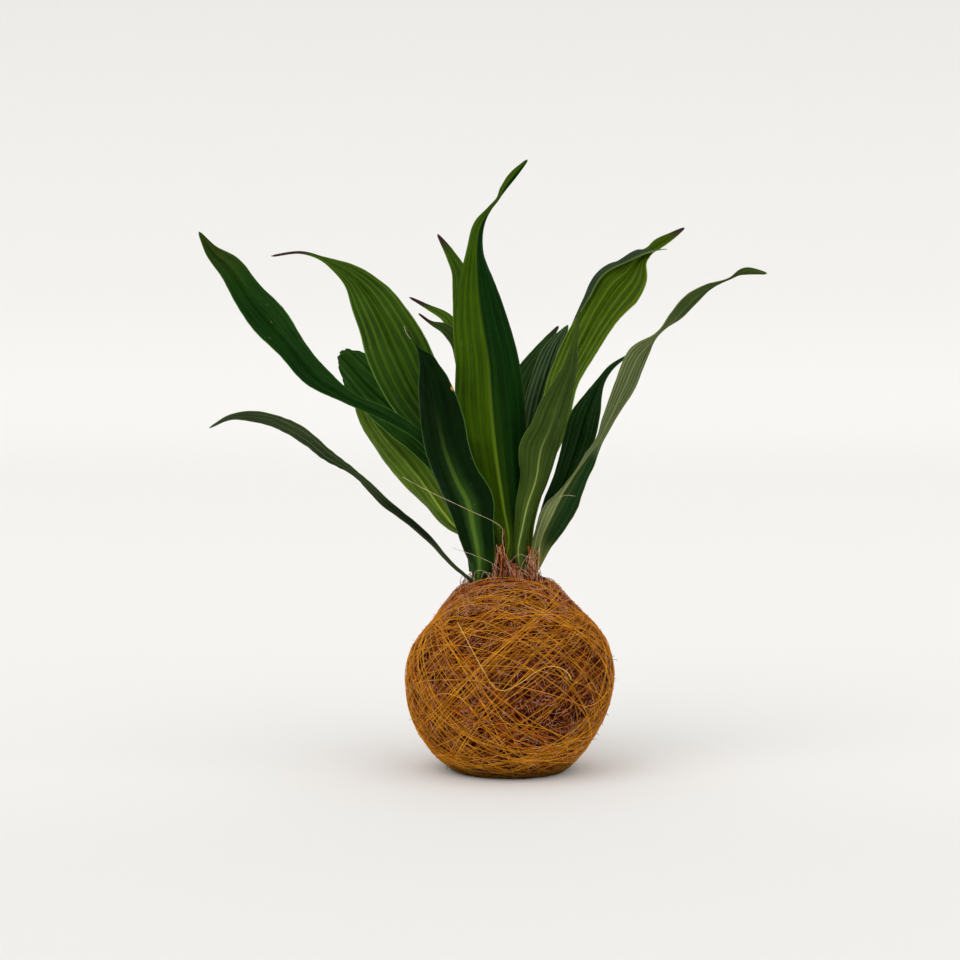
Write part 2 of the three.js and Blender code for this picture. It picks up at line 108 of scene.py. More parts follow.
# A material and the one method that adds its nodes
class Finish:
    def __init__(self, name):
        self.material = bpy.data.materials.new(name)
        self.material.use_nodes = True
        self.tree = self.material.node_tree
        self.tree.nodes.clear()

    def node(self, kind, settings={}, sockets={}, output=0):
        node = self.tree.nodes.new("ShaderNode" + kind)
        for key, value in settings.items():
            if key == "stops":
                elements = node.color_ramp.elements
                for element, (place, colour) in zip((elements[0], elements[1]), (value[0], value[-1])):
                    element.position, element.color = place, colour
                for place, colour in value[1:-1]:
                    elements.new(place).color = colour
            else:
                setattr(node, key, value)
        for key, value in sockets.items():
            if isinstance(value, Wire):
                self.tree.links.new(value.socket, node.inputs[key])
            else:
                node.inputs[key].default_value = value
        return Wire(self, node.outputs[output]) if node.outputs else None

    def mix(self, factor, first, second):
        return self.node("Mix", {"data_type": "RGBA"}, {0: factor, 6: first, 7: second}, output=2)

    def tinted(self, colour, factors):  # a colour with its channels multiplied
        settings = {"data_type": "RGBA", "blend_type": "MULTIPLY"}
        return self.node("Mix", settings, {0: 1.0, 6: colour, 7: tuple(factors) + (1,)}, output=2)

    def place(self, scale=(1, 1, 1)):  # the object's own coordinates, in units of 1 / scale metres
        spot = self.node("TexCoord", output=3)
        return self.node("Mapping", {}, {"Vector": spot, "Scale": scale})

    def along(self, axis):  # the place along x, y or z, in metres
        return self.node("SeparateXYZ", {}, {0: self.place()}, output="xyz".index(axis))

    def cloud(self, scale, detail=3, vector=None, rough=0.55):
        sockets = {"Vector": vector or self.place(), "Scale": scale, "Detail": detail, "Roughness": rough}
        return self.node("TexNoise", {}, sockets)

    def done(self, bump=None, strength=1.0, distance=0.001, **sockets):
        if bump:
            relief = {"Strength": strength, "Distance": distance, "Height": bump}
            sockets["Normal"] = self.node("Bump", {}, relief)
        named = {key.replace("_", " "): value for key, value in sockets.items()}
        self.node("OutputMaterial", {}, {"Surface": self.node("BsdfPrincipled", {}, named)})
        return self.material


def deselect():
    for item in bpy.context.selected_objects:
        item.select_set(False)


def hand(piece, name, finishes, node):  # node is None for a piece that stands for no CAD node
    piece.name = name
    piece.data.name = name
    for finish in finishes:
        piece.data.materials.append(finish)
    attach(piece, "root")
    if node:
        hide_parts(node)
    deselect()


def places(piece):  # the places of a mesh's vertices, one row each
    flat = np.empty(len(piece.data.vertices) * 3)
    piece.data.vertices.foreach_get("co", flat)
    return flat.reshape(-1, 3)


def shapeMesh(piece, points):
    piece.data.vertices.foreach_set("co", np.asarray(points, float).ravel())
    piece.data.update()


def applyAll(piece):
    bpy.context.view_layer.objects.active = piece
    for modifier in list(piece.modifiers):
        bpy.ops.object.modifier_apply(modifier=modifier.name)


deselect()
print("camera and helpers ready")

# Ball: the surface that the fibre and the thread lie on, in mm and in degrees from straight up
ball = {
    "radius": 59.6, "centre": 50, "lean": 1.4, "squash": 1.2, "lumps": 0.5,
    "rise": 4.4, "riseFrom": 38, "riseTo": 18,
    "dip": 3.1, "dipMiddle": 48, "dipTurn": 3, "dipReach": 15.5, "dipSpread": 2.5,
    "cheek": 2.8, "cheekMiddle": 115, "cheekReach": 28,
    "neckX": -4, "neckLength": 24, "neckWidth": 12.5, "neckFloor": 80, "half": 60,
}


def smooth(value, low, high):
    t = np.clip((value - low) / (high - low), 0, 1)
    return t * t * (3 - 2 * t)


def hump(fromTop, middle, reach):
    return np.exp(-(((np.degrees(fromTop) - middle) / reach) ** 2))


def ballDistance(around, fromTop):  # from the ball's centre to its surface
    right = np.cos(around)
    reach = ball["dipReach"] + ball["dipSpread"] * right
    dip = ball["dip"] * hump(fromTop, ball["dipMiddle"] - ball["dipTurn"] * right, reach)
    cheek = ball["cheek"] * np.maximum(right, 0) * hump(fromTop, ball["cheekMiddle"], ball["cheekReach"])
    rise = ball["rise"] * (1 - smooth(fromTop, math.radians(ball["riseTo"]), math.radians(ball["riseFrom"])))
    lumps = np.sin(3 * around + 1) * np.sin(2 * fromTop) + 0.7 * np.cos(2 * around - 3 * fromTop)
    uneven = (ball["lean"] * right + ball["lumps"] * lumps) * np.sin(fromTop)
    plain = ball["radius"] + rise + uneven + ball["squash"] * np.sin(2 * fromTop) - dip - cheek
    down = -np.cos(fromTop)
    return np.where(down > 0, np.minimum(plain, ball["centre"] / np.maximum(down, 0.01)), plain)


def onBall(directions, lift):  # points at lift over the surface, for unit directions from the ball's centre
    around = np.arctan2(directions[:, 1], directions[:, 0])
    fromTop = np.arccos(np.clip(directions[:, 2], -1, 1))
    points = directions * (ballDistance(around, fromTop) + lift)[:, None]
    points[:, 2] += ball["centre"]
    return points


def inNeck(x, y, grow=1.0):  # whether a place in mm is over the oblong opening, or its grown outline
    across, deep = (x - ball["neckX"]) / ball["neckLength"], y / ball["neckWidth"]
    return across * across + deep * deep < grow


def unit(vectors):
    return vectors / np.linalg.norm(vectors, axis=-1, keepdims=True)


def relief(directions, heights):  # unevenness in mm, from the height of each scale of noise
    def at(spot):
        return sum(high * noise.noise(spot * scale) for scale, high in heights.items())

    return np.array([at(Vector(direction)) for direction in directions])


def ballSphere(segments, rings):
    bpy.ops.mesh.primitive_uv_sphere_add(segments=segments, ring_count=rings, radius=1)
    piece = bpy.context.object
    return piece, unit(places(piece))


def coirFinish(name, low, high, gap):
    f = Finish(name)
    strands = f.cloud(1, 5, f.place((900, 900, 2600)), 0.7)
    crossing = f.cloud(1, 5, f.place((2400, 700, 900)), 0.7)
    patches = f.cloud(70, 3)
    depth = strands * 0.5 + crossing * 0.5
    colour = f.mix(depth.ramp(0.42, 0.6), gap, low)
    colour = f.mix((depth * patches).ramp(0.24, 0.36), colour, high)
    return f.done(depth, 0.5, 0.0005, Base_Color=colour, Roughness=1.0, Specular_IOR_Level=0.0)


coirWrap = {"segments": 140, "rings": 84, "relief": {9: 0.9, 26: 0.5}, "sink": 0.8, "wall": 7}
wrap, directions = ballSphere(coirWrap["segments"], coirWrap["rings"])
points = onBall(directions, relief(directions, coirWrap["relief"]) - coirWrap["sink"])
points[:, 2] = np.maximum(points[:, 2], 0)
shapeMesh(wrap, points * mm)
bpy.context.tool_settings.mesh_select_mode = (False, False, True)
bpy.ops.object.mode_set(mode="EDIT")
bpy.ops.mesh.select_all(action="DESELECT")
bpy.ops.object.mode_set(mode="OBJECT")
for face in wrap.data.polygons:  # the opening at the neck
    x, y, z = (value / mm for value in face.center)
    face.select = inNeck(x, y) and z > ball["neckFloor"]
bpy.ops.object.mode_set(mode="EDIT")
bpy.ops.mesh.delete(type="FACE")
bpy.ops.object.mode_set(mode="OBJECT")
wall = wrap.modifiers.new("wall", "SOLIDIFY")
wall.thickness, wall.offset = coirWrap["wall"] * mm, -1
applyAll(wrap)
wrap.data.shade_smooth()
coir = coirFinish("coir mat", srgb(74, 32, 16), srgb(124, 68, 40), srgb(22, 8, 4))
hand(wrap, "coirBall", [coir], "coir_wrap")

# Soil: fills the wrap up to a crumbly top in the neck
earth = {"segments": 72, "rings": 44, "crumbs": {16: 1.3, 40: 0.6}, "gap": 1.2, "foot": 8, "top": 103}
soil, directions = ballSphere(earth["segments"], earth["rings"])
crumbs = relief(directions, earth["crumbs"])
points = onBall(directions, crumbs - coirWrap["wall"] - earth["gap"])
points[:, 2] = np.clip(points[:, 2], earth["foot"], earth["top"] + crumbs)
shapeMesh(soil, points * mm)
soil.data.shade_smooth()
f = Finish("soil")
grains = f.cloud(700, 5)
colour = f.mix(grains.ramp(0.4, 0.62), srgb(24, 15, 10), srgb(70, 48, 30))
soilLook = f.done(grains, 0.8, 0.001, Base_Color=colour, Roughness=1.0)
hand(soil, "soilBall", [soilLook], "soil_core")
print("ball and soil done")


# Strands: many thin tubes in one piece, each with its own finish
def strandPiece(name, strands, finishes, sides=0):
    curve = bpy.data.curves.new(name, "CURVE")
    curve.dimensions = "3D"
    curve.bevel_depth = mm
    curve.bevel_resolution = sides
    curve.use_fill_caps = True
    for finish in finishes:
        curve.materials.append(finish)
    for path, radius, finish in strands:
        spline = curve.splines.new("POLY")
        spline.points.add(len(path) - 1)
        spline.points.foreach_set("co", np.c_[np.asarray(path) * mm, np.ones(len(path))].ravel())
        spline.points.foreach_set("radius", np.full(len(path), float(radius)))
        spline.material_index = int(finish)
        spline.use_smooth = True
    piece = bpy.data.objects.new(name, curve)
    bpy.context.collection.objects.link(piece)
    deselect()
    piece.select_set(True)
    bpy.context.view_layer.objects.active = piece
    bpy.ops.object.convert(target="MESH")
    return bpy.context.object


def strandFinish(name, low, high, rough=0.9, gloss=0.0, patch=260):
    f = Finish(name)
    tone = f.cloud(patch, 3) * 0.6 + f.cloud(2500, 2) * 0.4
    floorShade = f.along("z").ramp(0.0115, 0.0)  # painted shade: darker towards the floor, where the underside of the ball is shaded
    colour = f.mix(tone.ramp(0.38, 0.62), srgb(*low), srgb(*high))
    # Mix in the painted shade by the floor, towards dark brown
    colour = f.mix(floorShade * 0.85, colour, srgb(34, 13, 5))
    return f.done(Base_Color=colour, Roughness=rough, Specular_IOR_Level=gloss)


# Fibre: two layers of straight and bent pieces that lie over the wrap
fibre = {
    "count": 4300, "length": (7, 22), "radius": 0.15, "curl": 0.8, "steps": 6,
    "pinkLength": 0.6, "pinkRadius": 0.75, "arch": 0.5, "floor": 0.2, "neckClear": 0.95, "seed": 11,
}
fibreLayers = {
    "coirUnder": {"lift": (-0.6, 0.2), "shares": [0.36, 0.22, 0.1, 0.32]},
    "coirOver": {"lift": (-0.1, 0.9), "shares": [0.28, 0.28, 0.34, 0.1]},
}
brown, rust, pink, dark = range(4)
fibreLooks = [
    strandFinish("coir brown", (120, 58, 28), (164, 92, 50)),
    strandFinish("coir rust", (146, 72, 32), (188, 106, 58)),
    strandFinish("coir pink", (176, 118, 88), (218, 166, 134)),
    strandFinish("coir dark", (30, 12, 6), (62, 28, 14)),
]
rng = np.random.default_rng(fibre["seed"])


def wander(start, heading, length, curl, lifts):  # a path over the ball, with a point for each lift
    steps = len(lifts)
    direction, spots = start, []
    turn = rng.normal(0, curl)
    step = length / steps / ball["radius"]
    for _ in lifts:
        spots.append(direction)
        side = unit(np.cross(direction, heading))
        turn += rng.normal(0, curl)
        heading = unit(heading * math.cos(turn / steps) + side * math.sin(turn / steps))
        direction = unit(direction + heading * step)
        heading = unit(heading - direction * heading.dot(direction))
    return onBall(np.array(spots), np.array(lifts))


def randomStart(lowest=-0.97, highest=0.96):  # a direction between two heights on a ball of radius 1
    z = rng.uniform(lowest, highest)
    around = rng.uniform(0, 2 * math.pi)
    ring = math.sqrt(1 - z * z)
    return np.array([ring * math.cos(around), ring * math.sin(around), z])


def overNeck(path, grow):
    return bool(np.any(inNeck(path[:, 0], path[:, 1], grow) & (path[:, 2] > ball["neckFloor"])))


def fibreLayer(low, high, shares):
    fibres = []
    while len(fibres) < fibre["count"]:
        start = randomStart()
        heading = unit(np.cross(start, rng.normal(size=3)))
        look = rng.choice(4, p=shares)
        length = rng.uniform(*fibre["length"]) * (fibre["pinkLength"] if look == pink else 1)
        arch = np.sin(np.linspace(0, math.pi, fibre["steps"])) * rng.uniform(-0.3, 1.0)
        path = wander(start, heading, length, fibre["curl"], rng.uniform(low, high) + fibre["arch"] * arch)
        path[:, 2] = np.maximum(path[:, 2], fibre["floor"])
        if not overNeck(path, fibre["neckClear"]):
            radius = fibre["radius"] * rng.uniform(0.6, 1.2)
            fibres.append((path, radius * (fibre["pinkRadius"] if look == pink else 1), look))
    return fibres


for name, layer in fibreLayers.items():
    mat = strandPiece(name, fibreLayer(*layer["lift"], layer["shares"]), fibreLooks)
    hand(mat, name, [], None)
    print(name, "done", len(mat.data.polygons))

# Winding: the thread goes round the ball in bundles, clear of the neck. Angles are in degrees, and aside is
# how far a pass lies off the ball's middle, as a part of its radius
winding = {
    "steps": 72, "radius": 0.18, "lift": (0.7, 1.5), "apart": 0.075, "mostAside": 0.88,
    "stray": 4, "strayShare": 0.25, "sameGold": 0.7, "golds": [0.58, 0.32, 0.1],
    "weave": {k: 0.008 / k for k in (2, 3, 5, 8)}, "ripple": {k: 0.12 for k in (5, 9, 14)},
    "floor": 0.3, "neckClear": 1.4, "seed": 3,
    "crossed": {
        "bundles": 68, "mostStrands": 5, "tilt": 49, "tiltRange": 9, "mostTilt": 61, "aside": 0.4,
        "spread": 1.6,
    },
    "steep": {
        "bundles": 1, "strands": 3, "tilt": (60, 74), "sides": [-90, -90, 90], "turn": 16, "aside": 0.06,
        "spread": 2.5,
    },
    "level": {"bundles": 21, "strands": 2, "spread": 4},
    "shoulder": {"side": 1, "tilt": (4, 13), "aside": (0.5, 0.78)},
    "belly": {"side": -1, "tilt": (4, 24), "aside": (0.6, 0.88)},
}
sheen = {"rough": 0.6, "gloss": 0.1, "patch": 120}
threadLooks = [
    strandFinish("thread gold", (206, 132, 20), (238, 168, 48), **sheen),
    strandFinish("thread ochre", (158, 98, 8), (204, 130, 18), **sheen),
    strandFinish("thread orange", (196, 98, 14), (228, 126, 26), **sheen),
    strandFinish("thread pale", (220, 160, 64), (244, 196, 104), **sheen),
]
paleGold = 3
rng = np.random.default_rng(winding["seed"])
turns = np.linspace(0, 2 * math.pi, winding["steps"] + 1)


def sway(heights):  # a different unevenness each time, with the height of each number of waves in a turn
    return sum(high * rng.normal() * np.sin(k * turns + rng.uniform(0, 6.28)) for k, high in heights.items())


def threadPass(tilt, around, shift, lift):
    normal = np.array([math.sin(tilt) * math.cos(around), math.sin(tilt) * math.sin(around), math.cos(tilt)])
    first = np.array([-math.sin(around), math.cos(around), 0])
    second = np.cross(normal, first)
    aside = np.clip(shift + sway(winding["weave"]), -0.9, 0.9)
    ring = np.sqrt(1 - aside**2)
    spots = normal * aside[:, None]
    spots = spots + first * (ring * np.cos(turns))[:, None] + second * (ring * np.sin(turns))[:, None]
    path = onBall(spots, lift + sway(winding["ripple"]))
    path[:, 2] = np.maximum(path[:, 2], winding["floor"])
    return path


passes = []


def bundle(tilt, around, shift, count, spread):  # passes side by side, now and then one that strays
    gold = rng.choice(3, p=winding["golds"])
    for _ in range(count):
        stray = spread * (winding["stray"] if rng.random() < winding["strayShare"] else 1)
        path = threadPass(
            math.radians(tilt + rng.normal(0, stray)),
            math.radians(around + rng.normal(0, stray)),
            np.clip(shift + rng.normal(0, winding["apart"]), -winding["mostAside"], winding["mostAside"]),
            rng.uniform(*winding["lift"]),
        )
        if not overNeck(path, winding["neckClear"]):
            finish = gold if rng.random() < winding["sameGold"] else rng.integers(2)
            passes.append((path, winding["radius"] * rng.uniform(0.8, 1.15), finish))


crossed, steep, level = winding["crossed"], winding["steep"], winding["level"]
for _ in range(crossed["bundles"]):
    bundle(
        min(rng.normal(crossed["tilt"], crossed["tiltRange"]), crossed["mostTilt"]),
        rng.uniform(0, 360),
        rng.uniform(-crossed["aside"], crossed["aside"]),
        rng.integers(1, crossed["mostStrands"] + 1),
        crossed["spread"],
    )
for _ in range(steep["bundles"]):  # steep passes that clear the neck on its long sides
    bundle(
        rng.uniform(*steep["tilt"]),
        rng.choice(steep["sides"]) + rng.normal(0, steep["turn"]),
        rng.normal(0, steep["aside"]),
        steep["strands"],
        steep["spread"],
    )
for i in range(level["bundles"]):  # flat passes, a third round the shoulder, the rest under the belly
    band = winding["shoulder" if i % 3 == 0 else "belly"]
    tilt, around = rng.uniform(*band["tilt"]), rng.uniform(0, 360)
    bundle(tilt, around, band["side"] * rng.uniform(*band["aside"]), level["strands"], level["spread"])
thread = strandPiece("threadWinding", passes, threadLooks)
hand(thread, "threadWinding", [], "thread_winding")
print("thread done", len(passes), len(thread.data.polygons))

# Loose ends: short fibres that lie over the thread, and hairs on the outline. They start between two heights
# on a ball of radius 1, a third of the short fibres near the neck
loose = {
    "curls": {
        "count": 1500, "from": -0.9, "neckFrom": 0.74, "to": 0.93, "length": (4, 11), "steps": 6,
        "bend": 0.25, "lift": (0.9, 1.8), "radius": 0.11,
    },
    "hairs": {"count": 700, "from": -0.85, "to": 0.9, "length": (1.2, 4.2), "radius": 0.09},
    "seed": 21,
}
rng = np.random.default_rng(loose["seed"])


def softPath(spots, steps=14):  # a smooth line through a few points in mm
    spots = np.array(spots, float)
    t = np.linspace(0, len(spots) - 1, steps)
    i = np.clip(t.astype(int), 0, len(spots) - 2)
    u = (t - i)[:, None]
    before, after = spots[np.maximum(i - 1, 0)], spots[np.minimum(i + 2, len(spots) - 1)]
    a, b = spots[i], spots[i + 1]
    square = 2 * before - 5 * a + 4 * b - after
    cube = 3 * a - before - 3 * b + after
    return 0.5 * (2 * a + (b - before) * u + square * u**2 + cube * u**3)


ends = []
curls, hairs = loose["curls"], loose["hairs"]
for i in range(curls["count"]):
    start = randomStart(curls["neckFrom"] if i % 3 == 0 else curls["from"], curls["to"])
    heading = unit(np.cross(start, rng.normal(size=3)))
    length, lifts = rng.uniform(*curls["length"]), rng.uniform(*curls["lift"], curls["steps"])
    path = wander(start, heading, length, curls["bend"], lifts)
    if not overNeck(path, fibre["neckClear"]) and path[:, 2].min() > fibre["floor"]:
        ends.append((path, curls["radius"] * rng.uniform(0.7, 1.3), rng.choice([rust, pink, pink])))
for _ in range(hairs["count"]):
    start = randomStart(hairs["from"], hairs["to"])
    root = onBall(start[None], np.array([0.2]))[0]
    out = unit(start + 0.9 * rng.normal(size=3))
    bend = unit(start + 1.2 * rng.normal(size=3))
    length = rng.uniform(*hairs["length"])
    path = [root, root + out * length * 0.5, root + (out * 0.6 + bend * 0.5) * length]
    if min(z for x, y, z in path) > fibre["floor"]:
        look = (hairs["radius"] * rng.uniform(0.7, 1.3), rng.choice([brown, brown, rust, dark]))
        ends.append((softPath(path, 4), *look))

# Tufts round the shoots: the ends of the strip that the strands rise from, the apex where they draw
# together, how many there are, how far they spread, and their looks
tuftLooks = [brown, rust, rust, pink, pink, pink, dark]
tufts = [
    ((-11, -14, 106), (8, -15, 104), (-5, -13.5, 131), 120, 1.8, tuftLooks),  # in front of the middle shoot
    ((-3, -14, 106), (10, -14, 106), (3.5, -12.5, 121), 120, 1.6, tuftLooks),
    ((8, -13, 106), (17, -10, 105), (14, -9, 130), 120, 1.7, tuftLooks),  # round the right shoot
    ((-10, 3, 106), (12, 3, 106), (1, 0, 126), 240, 2, tuftLooks),  # behind them, between the shoots
    ((-28, 6, 104), (-8, 12, 107), (-14, 8, 119), 60, 2, tuftLooks),
    ((0, 12, 107), (18, 9, 106), (8, 8, 123), 60, 2, tuftLooks),
    ((-6, -14, 108), (-3, -14, 108), (-3.6, -13.5, 143), 40, 0.5, [brown, dark, dark]),  # the dry sheath
]
tuftRadius = 0.2
for low, high, apex, count, spread, looks in tufts:
    low, high, apex = np.array(low), np.array(high), np.array(apex)
    for _ in range(count):
        t = rng.random()
        foot = low * (1 - t) + high * t + rng.normal(0, 1.4, 3)
        tip = foot + (apex - foot) * (0.2 + 0.85 * rng.random() ** 1.5)
        tip = tip + rng.normal(0, spread, 3) * (1, 0.6, 0.4)
        middle = (foot + tip) / 2 + rng.normal(0, 2, 3)
        radius = tuftRadius * rng.uniform(0.6, 1.3)
        ends.append((softPath([foot, middle, tip], 7), radius, rng.choice(looks)))

# Collar: the fibre heaped round the shoots, with a hollow in front of the left one
collar = {
    "count": 1500, "x": (-30, 22), "y": (-15, 15), "length": (6, 17), "steps": 6, "bend": 0.09,
    "thickness": (-1.6, 0.9), "radius": 0.2, "lowest": 101,
    "height": 109.5, "heap": 3.5, "heapX": 4, "heapReach": 160, "fall": 0.012, "middleX": -4,
    "hollow": 5, "hollowX": -25, "hollowY": -5, "hollowReach": 30,
}


def collarHeight(x, y):
    heap = collar["heap"] * math.exp(-((x - collar["heapX"]) ** 2) / collar["heapReach"])
    away = (x - collar["hollowX"]) ** 2 + (y - collar["hollowY"]) ** 2
    hollow = collar["hollow"] * math.exp(-away / collar["hollowReach"])
    return collar["height"] + heap - hollow - collar["fall"] * ((x - collar["middleX"]) ** 2 + y * y)


for _ in range(collar["count"]):
    x, y = rng.uniform(*collar["x"]), rng.uniform(*collar["y"])
    heading = rng.uniform(0, 2 * math.pi)
    length = rng.uniform(*collar["length"])
    bend = rng.normal(0, collar["bend"])
    step = length / collar["steps"]
    path = []
    for _ in range(collar["steps"]):
        path.append((x, y, collarHeight(x, y) + rng.uniform(*collar["thickness"])))
        x, y = x + step * math.cos(heading), y + step * math.sin(heading)
        heading += bend * length / 2
    path = softPath(path, collar["steps"])
    if all(collarHeight(px, py) > collar["lowest"] for px, py, pz in path):
        ends.append((path, collar["radius"] * rng.uniform(0.6, 1.3), rng.choice(tuftLooks)))
neckFibres = strandPiece("coirLoose", ends, fibreLooks)
hand(neckFibres, "coirLoose", [], None)

# Long pale hairs that stand off: the points of each, and its radius
paleLines = [
    ([
        (-2, -14.5, 125), (-3.6, -15, 135), (-5, -16, 143.5),
        (-24, -27, 154), (-45, -33, 164.5), (-60, -37, 173),
    ], 0.15),
    ([(-1, -15, 113), (-8, -17, 121), (-19, -23, 127), (-32, -28, 132)], 0.12),
    ([(-16, -16, 112), (-14, -18, 117), (-9, -18, 115), (-6, -17, 109)], 0.1),
    ([(0, -15, 122), (6, -16, 127), (13, -15, 125), (18, -13, 130)], 0.09),
    ([(2, -14, 115), (8, -15, 118), (14, -14, 113)], 0.09),
    ([(29, -16, 160), (33, -17, 161), (38, -17, 160.5)], 0.1),
    ([(-55, -51, 251), (-57.5, -50, 254.5), (-58.5, -48, 258)], 0.1),
    ([(-20, -13, 110), (-19, -17, 117), (-14, -18.5, 117.5), (-9, -17, 111)], 0.1),
]
pale = strandFinish("dry fibre", (170, 146, 112), (214, 196, 164))
paleEnds = [(softPath(spots, 18), radius, 0) for spots, radius in paleLines]
paleHairs = strandPiece("paleHairs", paleEnds, [pale], 1)
hand(paleHairs, "paleHairs", [], None)

# Slack thread: the pale curl on the front, its points in mm right and up from the ball's middle, and shorter
# ends all round
slack = {
    "curl": [
        (-29, 40), (-20, 26), (-10, 9.5), (-3.5, 5.5), (5, 9), (15, 15.5), (23, 17.5), (30, 14.5), (33, 10),
    ],
    "curlLift": 2.6, "curlRadius": 0.25, "ends": 14, "length": (25, 55), "steps": 16, "bend": 0.7,
    "lift": 1.2, "arch": 0.9, "radius": 0.24,
}


def frontOnBall(column, row, lift):
    right, up = column / ball["half"], row / ball["half"]
    depth = -math.sqrt(max(1 - right**2 - up**2, 0.02))
    return onBall(unit(np.array([[right, depth, up]])), np.array([lift]))[0]


curlSpots = [frontOnBall(column, row, slack["curlLift"]) for column, row in slack["curl"]]
slackEnds = [(softPath(curlSpots, 44), slack["curlRadius"], paleGold)]
for _ in range(slack["ends"]):
    start = randomStart(-0.6, 0.75)
    heading = unit(np.cross(start, rng.normal(size=3)))
    lifts = slack["lift"] + slack["arch"] * np.sin(np.linspace(0, math.pi, slack["steps"]))
    path = wander(start, heading, rng.uniform(*slack["length"]), slack["bend"], lifts)
    slackEnds.append((path, slack["radius"], rng.integers(0, 2)))
slackThread = strandPiece("threadSlack", slackEnds, threadLooks)
hand(slackThread, "threadSlack", [], None)
print("loose ends done")

# Shoots: canes with leaf scars all the way up
stems = {
    "stem_left": {"x": -18, "y": -4, "foot": 4, "top": 2.6, "from": 86, "to": 121},
    "stem_middle": {"x": -4, "y": 3, "foot": 4.2, "top": 2.6, "from": 84, "to": 126},
    "stem_right": {"x": 10, "y": 1, "foot": 4.2, "top": 2.6, "from": 85, "to": 124},
}
caneShape = {"sides": 24, "cuts": 12, "scar": 0.06, "scarTurn": 1.9, "scarDrift": 2}
f = Finish("cane")
rings = (f.along("z") * 1900 + f.cloud(150) * 5).sine()
blotch = f.cloud(260, 4)
caneColour = f.mix((rings * 0.25 + blotch).ramp(0.3, 0.85), srgb(70, 82, 30), srgb(128, 116, 62))
caneLook = f.done(rings * 0.6 + blotch, 0.5, 0.0004, Base_Color=caneColour, Roughness=0.6)
for name, stem in stems.items():
    height = stem["to"] - stem["from"]
    bpy.ops.mesh.primitive_cone_add(
        vertices=caneShape["sides"], radius1=stem["foot"] * mm, radius2=stem["top"] * mm, depth=height * mm,
        location=(stem["x"] * mm, stem["y"] * mm, (stem["from"] + height / 2) * mm),
    )
    cane = bpy.context.object
    bpy.ops.object.transform_apply(location=True, rotation=True, scale=True)
    bpy.ops.object.mode_set(mode="EDIT")
    bpy.ops.mesh.select_all(action="SELECT")
    bpy.ops.mesh.subdivide(number_cuts=caneShape["cuts"])
    bpy.ops.object.mode_set(mode="OBJECT")
    for vertex in cane.data.vertices:
        drift = caneShape["scarDrift"] * noise.noise(vertex.co * 90)
        scar = 1 + caneShape["scar"] * math.sin(vertex.co.z / mm * caneShape["scarTurn"] + drift)
        vertex.co.x = stem["x"] * mm + (vertex.co.x - stem["x"] * mm) * scar
        vertex.co.y = stem["y"] * mm + (vertex.co.y - stem["y"] * mm) * scar
    cane.data.shade_smooth()
    hand(cane, name + "_cane", [caneLook], name)
print("shoots done")
